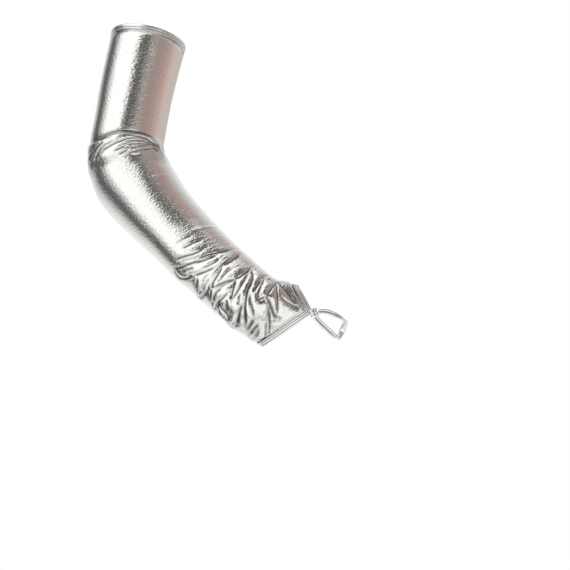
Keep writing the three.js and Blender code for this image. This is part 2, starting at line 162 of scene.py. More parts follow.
# Creases: depth as a share of the cloth's height, half width in millimetres, then the places on its line as
# share of the forearm and degrees round the arm
CREASES = [
    (0.5, 1.0, [(-0.034, 130), (-0.034, 116), (-0.034, 102)]),
    (0.9, 0.9, [(-0.034, 84), (-0.034, 72), (-0.026, 62), (-0.013, 52), (0.026, 40),
                (0.085, 27), (0.15, 25)]),
    (0.9, 1.0, [(0.017, 127), (0.009, 116), (0.004, 102), (-0.004, 90), (-0.014, 82), (-0.019, 66)]),
    (0.9, 1.0, [(-0.019, 68), (-0.004, 52), (0.03, 42), (0.081, 32), (0.115, 25)]),
    (0.9, 0.9, [(0.004, 84), (0.004, 68), (0.01, 58), (0.026, 50), (0.064, 40), (0.098, 33), (0.124, 31)]),
    (0.8, 0.9, [(0.026, 82), (0.026, 70), (0.034, 60), (0.047, 50), (0.068, 42)]),
    (0.8, 0.9, [(0.045, 80), (0.054, 68), (0.062, 56), (0.058, 44)]),
    (1.0, 0.8, [(0.036, 98), (0.033, 88), (0.03, 80)]),
    (1.0, 0.8, [(0.06, 92), (0.06, 84), (0.056, 76)]),
    (0.9, 0.9, [(0.09, 82), (0.081, 72), (0.085, 62), (0.094, 52), (0.111, 39)]),
    (1.0, 0.9, [(0.092, 42), (0.107, 35), (0.126, 30)]),
    (0.7, 0.9, [(0.081, 86), (0.092, 76), (0.107, 68), (0.117, 58)]),
    (0.4, 1.0, [(0.122, 72), (0.13, 60), (0.141, 50), (0.15, 38)]),
    (0.35, 1.0, [(-0.012, 154), (-0.017, 147), (-0.022, 138), (-0.027, 125)]),
    (0.5, 0.9, [(0.012, 154), (0.003, 143), (-0.008, 135), (-0.017, 126), (-0.021, 114)]),
    (0.35, 1.0, [(-0.03, 156), (-0.036, 148), (-0.041, 136), (-0.043, 122)]),
    (0.7, 0.9, [(0.036, 144), (0.026, 138), (0.016, 132), (0.004, 125),
                (-0.005, 116), (-0.012, 104), (-0.014, 94)]),
    (0.6, 1.0, [(-0.06, 46), (-0.026, 34), (0.038, 18), (0.103, 6)]),
    (0.6, 1.4, [(0.551, 106), (0.562, 94), (0.571, 83), (0.577, 72)]),
    (0.9, 1.6, [(0.592, 102), (0.603, 91), (0.61, 80), (0.624, 64)]),
    (0.8, 1.6, [(0.592, 130), (0.613, 116), (0.632, 104), (0.648, 94), (0.658, 83), (0.664, 70)]),
    (0.35, 1.2, [(0.615, 126), (0.641, 110), (0.662, 98), (0.679, 84)]),
    (0.8, 1.4, [(0.679, 95), (0.69, 83), (0.7, 74), (0.714, 64), (0.727, 50), (0.739, 34)]),
    (1.0, 1.4, [(0.683, 103), (0.699, 92), (0.709, 83), (0.716, 76), (0.724, 64)]),
    (0.8, 1.5, [(0.612, 140), (0.64, 128), (0.658, 116), (0.676, 104), (0.697, 91)]),
    (0.5, 1.2, [(0.652, 137), (0.671, 123), (0.692, 110)]),
    (1.0, 1.6, [(0.61, 138), (0.62, 145), (0.637, 149), (0.66, 147), (0.688, 136), (0.713, 121)]),
    (0.7, 1.5, [(0.71, 122), (0.735, 108), (0.75, 96), (0.765, 83)]),
    (0.35, 1.2, [(0.675, 130), (0.705, 116), (0.726, 102)]),
    (0.55, 1.2, [(0.722, 101), (0.735, 90), (0.744, 79), (0.749, 66)]),
    (1.0, 2.2, [(0.778, 73), (0.788, 82), (0.794, 91), (0.799, 101), (0.803, 109),
                (0.81, 114), (0.826, 109)]),
    (0.9, 2.0, [(0.82, 111), (0.833, 100), (0.846, 90), (0.859, 82), (0.87, 75)]),
    (1.0, 2.4, [(0.868, 77), (0.876, 66), (0.878, 53), (0.876, 39)]),
    (0.55, 1.3, [(0.816, 103), (0.819, 92), (0.817, 82), (0.817, 73), (0.826, 63)]),
    (0.6, 1.6, [(0.778, 74), (0.788, 66), (0.79, 56), (0.786, 42), (0.778, 26)]),
    (0.7, 1.6, [(0.731, 117), (0.742, 128), (0.753, 142), (0.768, 154)]),
    (0.9, 2.0, [(0.766, 154), (0.782, 154), (0.794, 141), (0.8, 129), (0.803, 120), (0.79, 111)]),
    (0.35, 1.2, [(0.762, 122), (0.757, 111), (0.761, 100)]),
    (0.35, 1.2, [(0.782, 134), (0.78, 119), (0.777, 104)]),
    (0.5, 1.2, [(0.833, 109), (0.85, 96), (0.863, 84), (0.876, 76)]),
    (0.9, 2.0, [(0.803, 119), (0.819, 122), (0.832, 132), (0.846, 142), (0.86, 149), (0.88, 145)]),
    (0.6, 1.3, [(0.856, 135), (0.844, 124), (0.842, 114), (0.85, 102)]),
    (0.6, 1.3, [(0.874, 145), (0.873, 126), (0.884, 114), (0.89, 99)]),
    (0.9, 2.6, [(0.868, 125), (0.885, 130), (0.902, 133), (0.919, 134), (0.938, 136), (0.954, 145)]),
    (0.7, 1.6, [(0.878, 124), (0.882, 136), (0.893, 146)]),
    (0.5, 1.6, [(0.9, 112), (0.912, 120), (0.922, 130)]),
    (1.0, 2.2, [(0.87, 75), (0.885, 84), (0.896, 93), (0.907, 102), (0.923, 111)]),
    (0.9, 2.0, [(0.923, 111), (0.919, 97), (0.914, 84), (0.906, 70), (0.893, 58), (0.88, 45)]),
    (0.6, 1.8, [(0.932, 89), (0.947, 98), (0.957, 107)]),
    (0.8, 1.6, [(0.962, 99), (0.968, 110), (0.971, 120), (0.974, 130), (0.975, 143)]),
    (1.0, 2.0, [(0.93, 58), (0.944, 71), (0.956, 82), (0.966, 92), (0.975, 103),
                (0.986, 114), (0.997, 126), (1.01, 137)]),
    (0.8, 1.8, [(0.876, 39), (0.901, 44), (0.926, 54), (0.943, 66), (0.953, 77)]),
    (0.8, 1.6, [(0.961, 76), (0.974, 86), (0.988, 93), (1.0, 101), (1.013, 111)]),
    (0.9, 1.5, [(1.009, 138), (1.01, 124), (1.011, 110)]),
    (0.7, 1.6, [(0.994, 80), (0.989, 72), (0.983, 63), (0.973, 50), (0.962, 35)]),
    (1.0, 1.6, [(0.971, 75), (0.966, 64), (0.962, 54), (0.957, 43)]),
    (0.4, 1.4, [(0.957, 66), (0.95, 53), (0.946, 35), (0.953, 15)]),
    (1.0, 2.0, [(0.996, 79), (1.005, 72), (1.013, 67)]),
    (1.0, 2.2, [(1.012, 66), (1.026, 68), (1.038, 74), (1.05, 81), (1.061, 88), (1.077, 92), (1.099, 92)]),
    (0.8, 1.8, [(1.013, 67), (1.017, 56), (1.018, 46), (1.021, 34), (1.026, 23)]),
    (1.0, 2.0, [(1.026, 29), (1.042, 47), (1.056, 61), (1.067, 73), (1.076, 83), (1.08, 93)]),
    (1.0, 2.2, [(1.025, 23), (1.055, 33), (1.077, 42), (1.099, 50), (1.123, 57), (1.147, 63)]),
    (0.5, 1.2, [(1.077, 38), (1.106, 46), (1.132, 52), (1.163, 59)]),
    (0.6, 1.5, [(1.06, 53), (1.085, 61), (1.11, 64), (1.134, 65), (1.163, 67)]),
    (0.5, 1.4, [(0.966, 31), (0.99, 27), (1.016, 29)]),
    (1.0, 2.0, [(1.036, 81), (1.044, 87), (1.055, 98), (1.064, 109), (1.072, 122), (1.077, 135)]),
    (0.8, 1.5, [(1.047, 103), (1.052, 116), (1.061, 127), (1.078, 137)]),
    (0.9, 1.5, [(1.017, 147), (1.022, 130), (1.03, 112)]),
    (0.8, 1.8, [(1.021, 161), (1.033, 149), (1.047, 144), (1.064, 146), (1.075, 151)]),
    (0.4, 1.3, [(1.068, 102), (1.085, 98), (1.108, 92)]),
    (0.7, 1.5, [(1.035, 120), (1.034, 133), (1.032, 146)]),
]

# The thin core of each crease, in millimetres: a narrow valley with painted shade along it
CREASE_CORE = 0.95

# Angle behind the thumb side from which the tables above count
FIRST_ANGLE = -40

# Low pleats that stand on the smooth cloth: height, half width, places
PLEATS = [
    (0.35, 1.6, [(0.235, 74), (0.25, 28)]),
    (0.35, 1.8, [(0.45, 72), (0.51, 24)]),
    (0.5, 1.8, [(0.55, 80), (0.575, 40), (0.595, 0)]),
    (0.3, 1.8, [(0.4, 60), (0.42, 20)]),
]


def smooth_curve(places, values):
    """The same cubic through a table's rows as in the part's source."""
    p, v = np.array(places, float), np.array(values, float)
    slope = np.empty_like(v)
    slope[1:-1] = (v[2:] - v[:-2]) / (p[2:] - p[:-2])
    slope[0] = (v[1] - v[0]) / (p[1] - p[0])
    slope[-1] = (v[-1] - v[-2]) / (p[-1] - p[-2])

    def at(x):
        i = np.clip(np.searchsorted(p, x, side="right") - 1, 0, len(p) - 2)
        span = p[i + 1] - p[i]
        t = np.clip((x - p[i]) / span, 0, 1)
        start = (2 * t**3 - 3 * t**2 + 1) * v[i] + (t**3 - 2 * t**2 + t) * span * slope[i]
        return start + (3 * t**2 - 2 * t**3) * v[i + 1] + (t**3 - t**2) * span * slope[i + 1]

    return at


section_places, section_widths, section_depths, section_inners = zip(*SECTIONS)
width_at = smooth_curve(section_places, section_widths)
depth_at = smooth_curve(section_places, section_depths)
inner_at = smooth_curve(section_places, section_inners)


def direction(s):
    heading = np.radians(np.interp(s, PATH_PLACES, PATH_HEADINGS))
    lean = np.radians(np.interp(s, PATH_PLACES, PATH_LEANS))
    flat = np.cos(lean)
    return np.stack([flat * np.cos(heading), -np.sin(lean), -flat * np.sin(heading)], -1)


CENTRELINE = np.concatenate([[[0, 0, 0]], np.cumsum(direction(np.arange(POINT + POINT_LENGTH) + 0.5), 0)])


def unit(v):
    return v / np.linalg.norm(v, axis=-1, keepdims=True)


def frame_at(s):
    """Centre of the arm's section, and its axes to the thumb side and to the front."""
    places = np.arange(len(CENTRELINE))
    centre = np.stack([np.interp(s, places, CENTRELINE[:, k]) for k in range(3)], -1)
    along = direction(s)
    front = unit(np.array([0, -1, 0]) + along * along[..., 1:2])
    return centre, unit(np.cross(front, along)), front


def on_arm(s, angle, lift):
    """Point at a place along the arm and an angle round it (radians), lifted off the smooth form (mm)."""
    s, angle, lift = np.broadcast_arrays(np.asarray(s, float), angle, lift)
    centre, side, front = frame_at(s)
    width, inner, deep = width_at(s), inner_at(s), depth_at(s) / 2
    c, d = np.cos(angle), np.sin(angle)
    wide = np.where(c > 0, width * inner, width * (1 - inner))
    nx, ny = c / wide, d / deep
    size = np.hypot(nx, ny)
    across = wide * c + lift * nx / size
    forward = deep * d + lift * ny / size
    return centre + side * across[..., None] + front * forward[..., None]


def hem_place(angle):
    """Outer edge of the hand hem: aslant to the point over the back of the hand, straight over the palm."""
    across, peak = np.cos(angle), math.cos(math.radians(POINT_ANGLE))
    palm = LITTLE_SIDE_SHARE + (THUMB_SIDE_SHARE - LITTLE_SIDE_SHARE) * (across + 1) / 2
    thumb = 1 + (THUMB_SIDE_SHARE - 1) * (across - peak) / (1 - peak)
    little = LITTLE_SIDE_SHARE + (1 - LITTLE_SIDE_SHARE) * (across + 1) / (peak + 1)
    return HAND_HEM + POINT_LENGTH * np.where(np.sin(angle) < 0, palm, np.minimum(thumb, little))


def hem_slope(angle):
    """How much longer a band's width is along the arm where its hem runs aslant."""
    nudge = math.radians(2)
    width, inner, deep = width_at(HAND_HEM), inner_at(HAND_HEM), depth_at(HAND_HEM) / 2
    stretch = nudge * np.hypot(width * inner * np.sin(angle), deep * np.cos(angle))
    here = hem_place(angle)
    rise = np.maximum(np.abs(hem_place(angle + nudge) - here), np.abs(here - hem_place(angle - nudge)))
    return np.hypot(1, rise / stretch)


def along_hem(share, angle):
    """Place along the arm at a share of the upper hem's width."""
    return share * UPPER_HEM_WIDTH + 0 * angle


def along_binding(share, angle):
    """Place along the arm at a share of the binding's width, counted from its outer edge."""
    return hem_place(angle) - share * BINDING_WIDTH * hem_slope(angle)


def mean_radius(s):
    return (width_at(s) + depth_at(s)) / 4


def smoothstep(low, high, x):
    t = np.clip((x - low) / (high - low), 0, 1)
    return t * t * (3 - 2 * t)


def hill(x, wide):
    """1 at the middle, falling away softly to both sides."""
    return np.exp(-((x / wide) ** 2))


def soft_noise(u, v, seed, turns=64):
    """Smooth random hills about one unit wide, -1 to 1, that repeat in v after the given number of turns."""
    heights = np.random.default_rng(seed).uniform(-1, 1, (64, turns))
    iu, iv = np.floor(u).astype(int), np.floor(v).astype(int)
    fu, fv = u - iu, v - iv
    su, sv = fu * fu * (3 - 2 * fu), fv * fv * (3 - 2 * fv)
    h = [[heights[(iu + a) % 64, (iv + b) % turns] for b in (0, 1)] for a in (0, 1)]
    near = h[0][0] * (1 - sv) + h[0][1] * sv
    far = h[1][0] * (1 - sv) + h[1][1] * sv
    return near * (1 - su) + far * su


def laid_flat(s, degrees):
    """The cloth laid flat: millimetres along the arm and round it."""
    return s, np.radians(degrees) * mean_radius(s)


def along_line(points, u, v):
    """Distance of flat cloth points from a line through the places given, and how far along it they lie."""
    shares, degrees = np.array(points, float).T
    pu, pv = laid_flat(ELBOW + FOREARM * shares, degrees)
    lengths = np.hypot(np.diff(pu), np.diff(pv))
    best = np.full(u.shape, np.inf)
    reach = np.zeros(u.shape)
    run = 0.0
    for k, length in enumerate(lengths):
        du, dv = (pu[k + 1] - pu[k]) / length, (pv[k + 1] - pv[k]) / length
        t = np.clip((u - pu[k]) * du + (v - pv[k]) * dv, 0, length)
        away = np.hypot(u - pu[k] - t * du, v - pv[k] - t * dv)
        nearer = away < best
        best = np.where(nearer, away, best)
        reach = np.where(nearer, (run + t) / lengths.sum(), reach)
        run += length
    return best, reach


def elbow_roll(share, degrees):
    """Height of the roll over the elbow, how far down it a point lies, and the groove over it, which also
    carries painted shade.
    """
    edge_angles, tops, bottoms = zip(*ELBOW_ROLL_EDGES)
    top, bottom = np.interp(degrees, edge_angles, tops), np.interp(degrees, edge_angles, bottoms)
    down = (share - top) / (bottom - top)
    room = np.clip((bottom - top) / 0.1, 0.3, 1)
    side = smoothstep(2, 26, degrees) * (1 - smoothstep(150, 196, degrees))
    roll = smoothstep(0, 0.14, down) * (1 - smoothstep(0.7, 1.15, down))
    shaded_groove = hill(share - top + 0.007, 0.009) * smoothstep(16, 50, degrees)
    shaded_groove *= 1 - smoothstep(125, 160, degrees)
    return ELBOW_ROLL_HEIGHT * room * side * roll, down, shaded_groove


def wrist_bunch(share, degrees):
    """Height of the bunched cloth, how far past its puffs' tips a point lies, and a line of painted shade
    along the tips.
    """
    bunch = np.interp(share, *zip(*BUNCH)) * np.interp(degrees, *zip(*BUNCH_ROUND))
    beyond = degrees - np.interp(share, *zip(*BUNCH_EDGE))
    tips = smoothstep(0.6, 0.68, share)
    past = smoothstep(-1.5, 2.2, beyond) * tips
    bunch = (bunch + 1.6 * tips * smoothstep(-26, -3, beyond)) * (1 - 0.92 * past)
    bunch += 1.5 * past * (1 - smoothstep(2, 34, beyond))
    return bunch, past, hill(beyond - 0.4, 1.4) * tips


def creased(share, u, v):
    """What the creases leave of the cloth's height and of its light, both as shares."""
    height, light = np.ones_like(u), np.ones_like(u)
    # The painted shade in the creases is darkest round the wrist. Each crease is a thin core in a wider
    # valley and runs out at its ends; painted shade lies along its core
    dark = np.interp(share, [0.2, 0.55, 0.9, 1.04], [0.9, 1.5, 1.5, 0.85])
    for depth, wide, points in CREASES:
        away, reach = along_line(points, u, v)
        deep = depth * np.minimum(1, np.sin(np.pi * np.clip(reach, 0.04, 0.96)) * 1.6)
        core = hill(away, CREASE_CORE)
        height *= 1 - deep * (0.25 * core + 0.3 * hill(away / wide, 1.7))
        light *= 1 - np.minimum(1, dark * deep) * core
    return height, light


def cloth_relief(s, angle):
    """Height of the folds over the smooth form, and the painted shade of the creases, the puffs' tips and the
    elbow's groove at each point, 0 to 1.
    """
    degrees = FIRST_ANGLE + np.mod(np.degrees(angle) - FIRST_ANGLE, 360)
    share = (s - ELBOW) / FOREARM
    u, v = laid_flat(s, degrees)
    elbow, down_roll, roll_groove_and_shade = elbow_roll(share, degrees)
    bunch, past, tip_shade = wrist_bunch(share, degrees)
    raised = elbow + bunch
    left_height, left_light = creased(share, u, v)
    height = raised * left_height
    for rise, wide, points in PLEATS:
        away, reach = along_line(points, u, v)
        height += rise * np.sin(np.pi * reach) * hill(away, wide)

    # Ripples of the bunched cloth and of the elbow's roll, then the slack of the whole sleeve
    front_v = v - np.pi / 2 * mean_radius(s)
    across_folds = u + front_v * np.interp(share, [0.55, 0.8, 1.05], [0.6, 0, -0.5])
    rippled = smoothstep(0.3, 3, raised) * (share > 0.3) * (1 - past)
    height += 0.1 * rippled * soft_noise(across_folds / 3, front_v / 15, 5)
    height += 0.15 * elbow * soft_noise(down_roll * 6, front_v / 16, 9)
    height += 0.22 * soft_noise(u / 34, degrees / 30, 7, 12)
    height += 0.06 * soft_noise(u / 13, degrees / 12, 8, 30)
    from_hem, to_binding = s - UPPER_HEM_WIDTH, along_binding(1, angle) - s
    fade = smoothstep(0, 4.5, to_binding) * smoothstep(0, 6, from_hem)

    # The forearm's section leans over and has a low ridge, and the seam is drawn in behind
    leant = np.interp(share, [0.2, 0.5, 0.85, 1.0], [0, 1.8, 1.8, 0]) * np.sin(2 * angle)
    ridge_at = np.interp(share, [0.1, 0.23, 0.53], [76, 80, 92])
    ridge = np.interp(share, [0.1, 0.25, 0.6, 0.75], [0, 0.6, 0.6, 0]) * hill(degrees - ridge_at, 14)
    seam = 0.35 * hill(degrees - 270, 1.6)
    # Painted shade: dark lines in the creases, along the puffs' tips and in the groove over the elbow's roll
    painted_shade = np.maximum((1 - left_light) * np.clip(raised / 2, 0, 1), np.maximum(tip_shade, 0.8 * roll_groove_and_shade))
    return height * fade - seam - leant + ridge - 0.5 * roll_groove_and_shade, painted_shade * fade


def stretches(first, steps):
    """Places from the first one through each stretch, without the last one."""
    values = []
    for to, count in steps:
        values.append(np.linspace(first, to, count, endpoint=False))
        first = to
    return np.concatenate(values)


# Angles of the points round the arm, close together where the front shows
ANGLES = np.radians(stretches(-20, [(0, 8), (POINT_ANGLE, 38), (180, 68), (200, 8), (340, 20)]))


def placed(name, data):
    """A new object in the scene."""
    made = bpy.data.objects.new(name, data)
    bpy.context.collection.objects.link(made)
    return made


def cloth_mesh(name, points, faces, materials, face_materials=None, uv=None, painted_shade=None):
    """A smooth-shaded mesh object from millimetre points."""
    mesh = bpy.data.meshes.new(name)
    mesh.from_pydata((np.asarray(points).reshape(-1, 3) * MM).tolist(), [], faces)
    mesh.polygons.foreach_set("use_smooth", [True] * len(mesh.polygons))
    for material in materials:
        mesh.materials.append(material)
    if face_materials is not None:
        mesh.polygons.foreach_set("material_index", face_materials)
    if uv is not None:
        corners = np.empty(len(mesh.loops), int)
        mesh.loops.foreach_get("vertex_index", corners)
        layer = mesh.uv_layers.new(name="cloth")
        layer.data.foreach_set("uv", uv[corners].astype(np.float32).ravel())
    if painted_shade is not None:
        shade = mesh.attributes.new("painted_shade", "FLOAT", "POINT")
        shade.data.foreach_set("value", painted_shade.astype(np.float32).ravel())
    mesh.update()
    return placed(name, mesh)


def cloth_uv(across, along):
    """Places on the flat cloth for the mesh's points, in metres."""
    return np.stack([across, along], -1).reshape(-1, 2) * MM


def ring_faces(rows, columns, closed_rows, first=0):
    """Quads over a grid whose columns close round the arm."""
    faces = []
    for i in range(rows if closed_rows else rows - 1):
        a, b = first + i * columns, first + (i + 1) % rows * columns
        for j in range(columns):
            k = (j + 1) % columns
            faces.append((a + j, a + k, b + k, b + j))
    return faces


def sleeve_cloth(outside, inside):
    blend = WRIST - 0.05 * FOREARM
    # Rows up to each place, close together where the folds lie
    body = stretches(
        UPPER_HEM_WIDTH + SEAM_GAP,
        [(113, 14), (182, 92), (200, 16), (ELBOW + 0.5 * FOREARM, 12), (blend, 130)],
    )
    s_body = np.repeat(body[:, None], len(ANGLES), 1)
    end = hem_place(ANGLES) - (BINDING_WIDTH + SEAM_GAP) * hem_slope(ANGLES)
    s_hand = blend + np.linspace(0, 1, 67)[:, None] * (end - blend)
    s = np.concatenate([s_body, s_hand])
    angle = np.broadcast_to(ANGLES, s.shape)
    height, painted_shade = cloth_relief(s, angle)
    outer = on_arm(s, angle, height + CLOTH / 2)
    inner = on_arm(s, angle, height - CLOTH / 2)
    rows, columns = s.shape
    total = rows * columns
    outer_faces = ring_faces(rows, columns, False)
    inner_faces = [f[::-1] for f in ring_faces(rows, columns, False, total)]
    rims = []
    for j in range(columns):
        k = (j + 1) % columns
        last = (rows - 1) * columns
        rims.append((j, total + j, total + k, k))
        rims.append((last + k, total + last + k, total + last + j, last + j))
    faces = outer_faces + inner_faces + rims
    face_materials = [0] * len(outer_faces) + [1] * len(inner_faces) + [0] * len(rims)
    u, v = laid_flat(s, np.degrees(angle))
    flat = cloth_uv(v, u)
    return cloth_mesh(
        "sleeve_cloth",
        np.concatenate([outer, inner]),
        faces,
        [outside, inside],
        face_materials,
        np.concatenate([flat, flat]),
        np.concatenate([painted_shade, painted_shade * 0]),
    )


def sewn_band(name, profile, place, waver, material, shaded_grooves):
    """A band round the arm. The profile's rows are (share across the band, lift in mm), in a closed loop."""
    share, lift = np.array(profile, float).T
    s = place(share[:, None], ANGLES[None, :])
    wave = waver * soft_noise(share[:, None] * 1.5, np.degrees(ANGLES)[None, :] / 6, 11, 60)
    points = on_arm(s, ANGLES[None, :], lift[:, None] + wave * (lift[:, None] > 0))
    u, v = laid_flat(s, np.degrees(np.broadcast_to(ANGLES, s.shape)))
    # Painted shade along each sewn groove given
    depth = np.max([hill(share - at, GROOVE_SHADE_SHARE) * (lift > 0) for at in shaded_grooves], 0)
    return cloth_mesh(
        name,
        points,
        ring_faces(len(profile), len(ANGLES), True),
        [material],
        uv=cloth_uv(v, u),
        painted_shade=np.repeat(depth[:, None], len(ANGLES), 1),
    )


def rolled_profile(rolls, thickness, steps=7):
    """Outer face of rounded rolls side by side, (start, end, height) as shares, over a flat inner face."""
    half = thickness / 2
    profile = [(0.0, 0.0)]
    for start, end, height in rolls:
        for x in np.linspace(0, 1, steps + 2)[1:-1]:
            swell = (1 - (2 * x - 1) ** 4) ** 0.5
            profile.append((start + (end - start) * x, half * (0.35 + 0.65 * swell) * height))
        profile.append((end, 0.2 * half))
    return profile + [(1.0, 0.0), (0.98, -0.7 * half), (0.9, -half), (0.1, -half), (0.02, -0.7 * half)]


def finger_axes():
    heading = math.radians(LOOP_HEADING)
    peak = math.radians(POINT_ANGLE)
    origin = on_arm(POINT, peak, 0)
    along = np.array([math.cos(heading), 0, -math.sin(heading)])
    outward = on_arm(POINT, peak, 1) - origin
    outward = unit(outward - along * outward.dot(along))
    return origin, along, np.cross(outward, along), outward


def loop_path(count):
    """Middle line of the finger loop at even steps, and its tangents."""
    origin, along, side, outward = finger_axes()
    rows = [
        origin + along * reach * LOOP_REACH + side * across * FINGER_WIDTH / 2 - outward * drop * FINGER_DEPTH
        for reach, across, drop in LOOP_LINE
    ]
    ends = [2 * rows[0] - rows[1]] + rows + [2 * rows[-1] - rows[-2]]
    fine = []
    for a, b, c, d in zip(ends, ends[1:], ends[2:], ends[3:]):
        t0 = 0.0
        t1 = t0 + np.linalg.norm(b - a) ** 0.5
        t2 = t1 + np.linalg.norm(c - b) ** 0.5
        t3 = t2 + np.linalg.norm(d - c) ** 0.5
        for t in np.linspace(t1, t2, 24, endpoint=False):
            ab = (a * (t1 - t) + b * (t - t0)) / (t1 - t0)
            bc = (b * (t2 - t) + c * (t - t1)) / (t2 - t1)
            cd = (c * (t3 - t) + d * (t - t2)) / (t3 - t2)
            abc = (ab * (t2 - t) + bc * (t - t0)) / (t2 - t0)
            bcd = (bc * (t3 - t) + cd * (t - t1)) / (t3 - t1)
            fine.append((abc * (t2 - t) + bcd * (t - t1)) / (t2 - t1))
    fine = np.array(fine + [rows[-1]])
    run = np.concatenate([[0], np.cumsum(np.linalg.norm(np.diff(fine, axis=0), axis=1))])
    even = np.linspace(0, run[-1], count)
    middle = np.stack([np.interp(even, run, fine[:, k]) for k in range(3)], -1)
    return middle, unit(np.gradient(middle, axis=0))


def strap_facing(middle, tangent):
    """Outward face of the strap along its path."""
    origin, _, side, outward = finger_axes()
    offset = middle - origin
    turn = np.pi * np.clip(-(offset @ outward) / FINGER_DEPTH, 0, 1)
    facing = outward * np.cos(turn)[:, None] + side * (np.sign(offset @ side) * np.sin(turn))[:, None]
    facing -= tangent * np.sum(facing * tangent, 1, keepdims=True)
    return unit(facing)


STRAP_PROFILE = [
    (-2.8, -0.2), (-2.7, 0.45), (-2.2, 0.95), (-1.5, 1.08), (-0.8, 0.95), (-0.3, 0.55), (0, 0.35),
    (0.3, 0.55), (0.8, 0.95), (1.5, 1.08), (2.2, 0.95), (2.7, 0.45), (2.8, -0.2), (2.4, -0.8), (1.6, -1),
    (0, -1), (-1.6, -1), (-2.4, -0.8),
]


def finger_strap(material):
    count = 120
    middle, tangent = loop_path(count)
    facing = strap_facing(middle, tangent)
    across = np.cross(tangent, facing)
    shape = np.array(STRAP_PROFILE)
    waver = 0.06 * soft_noise(np.arange(count) / 5, np.zeros(count), 21)
    points = (
        middle[:, None]
        + across[:, None] * (shape[None, :, :1] * (1 + waver[:, None, None]))
        + facing[:, None] * shape[None, :, 1:]
    )
    sides = len(shape)
    faces = ring_faces(count, sides, False)
    faces.append(tuple(range(sides))[::-1])
    faces.append(tuple(range((count - 1) * sides, count * sides)))
    run = np.linspace(0, STRAP_LENGTH, count)
    return cloth_mesh(
        "finger_strap",
        points,
        faces,
        [material],
        uv=cloth_uv(np.broadcast_to(shape[:, 0], (count, sides)), np.repeat(run[:, None], sides, 1)),
        # Painted shade: a dark line along the strap's middle groove
        painted_shade=np.tile(hill(shape[:, 0], 0.35) * (shape[:, 1] > 0), count),
    )


def crossing_tack(material):
    """The little square of folded binding over the point, one fold laid aslant over the other."""
    origin, along, side, outward = finger_axes()
    n = 15
    grid = np.linspace(-1, 1, n)
    gu, gv = np.meshgrid(grid, grid, indexing="ij")
    rim = np.maximum(np.abs(gu), np.abs(gv))
    half = CROSSING_SIZE / 2
    pull = 1 - 0.07 * (1 - np.minimum(np.abs(gu), np.abs(gv))) * rim**2
    x, y = (gu + gv) / math.sqrt(2) * half * pull, (gv - gu) / math.sqrt(2) * half * pull
    lift = BINDING_THICKNESS / 2 + SEAM_GAP
    slit = hill(gv - 0.1, 0.12)
    fold = 0.22 * np.cos(np.pi * gu * 1.5) ** 2 - 0.3 * slit * (np.abs(gu) < 0.9)
    top = lift + 1.75 * (1 - 0.75 * rim**6) + fold * (1 - rim**4)
    low = np.full_like(top, lift)

    def place(z):
        return origin + along * x[..., None] + side * y[..., None] + outward * z[..., None]

    def quads(first, turn):
        made = []
        for i in range(n - 1):
            for j in range(n - 1):
                a, b = first + i * n + j, first + (i + 1) * n + j
                made.append((a, b, b + 1, a + 1)[::turn])
        return made

    ring = [i * n for i in range(n - 1)] + [(n - 1) * n + j for j in range(n - 1)]
    ring += [i * n + n - 1 for i in range(n - 1, 0, -1)] + list(range(n - 1, 0, -1))
    sides = [(n * n + a, n * n + b, b, a) for a, b in zip(ring, ring[1:] + ring[:1])]
    # Painted shade in the slit between the two folds and round the square's rim
    shaded_groove = np.maximum(slit * (np.abs(gu) < 0.95), 0.7 * rim**10)
    return cloth_mesh(
        "crossing_tack",
        np.concatenate([place(top).reshape(-1, 3), place(low).reshape(-1, 3)]),
        quads(0, 1) + quads(n * n, -1) + sides,
        [material],
        uv=np.tile(cloth_uv(x, y), (2, 1)),
        painted_shade=np.concatenate([shaded_groove, 0 * shaded_groove]),
    )


def wire(tree, made, inputs):
    """Gives each input of a node its value, or links it to the output given for it."""
    for key, value in inputs.items():
        if isinstance(value, bpy.types.NodeSocket):
            tree.links.new(value, made.inputs[key])
        else:
            made.inputs[key].default_value = value


def node(tree, kind, inputs=(), **settings):
    made = tree.nodes.new(kind)
    for key, value in settings.items():
        setattr(made, key, value)
    wire(tree, made, dict(inputs))
    return made


def maths(tree, operation, *values):
    return node(tree, "ShaderNodeMath", dict(enumerate(values)), operation=operation).outputs[0]


def ranged(tree, value, low, high, to_low=0, to_high=1, how="LINEAR"):
    """A value's run from low to high, turned into a run between two others."""
    limits = {"From Min": low, "From Max": high, "To Min": to_low, "To Max": to_high}
    made = node(tree, "ShaderNodeMapRange", {"Value": value, **limits}, interpolation_type=how)
    return made.outputs["Result"]


def laid_over(tree, how, base, colour, where):
    """A colour laid over another one where the mask is 1. Each is three shares or a node's output."""
    given = {"Color1": base, "Color2": colour}
    inputs = {key: (*value, 1) if isinstance(value, tuple) else value for key, value in given.items()}
    return node(tree, "ShaderNodeMixRGB", {"Fac": where, **inputs}, blend_type=how).outputs["Color"]


def new_material(name):
    material = bpy.data.materials.new(name)
    material.use_nodes = True
    return material, material.node_tree, material.node_tree.nodes["Principled BSDF"]


# The foil: scales of its grain and its patches of gloss, how far the gloss wanders, and the painted shade in
# a crease
GRAIN_SCALE = 560.0
PATCH_SCALE = 160.0
GLOSS_SPREAD = 0.1
PAINTED_SHADE_COLOUR = (0.03, 0.03, 0.03)


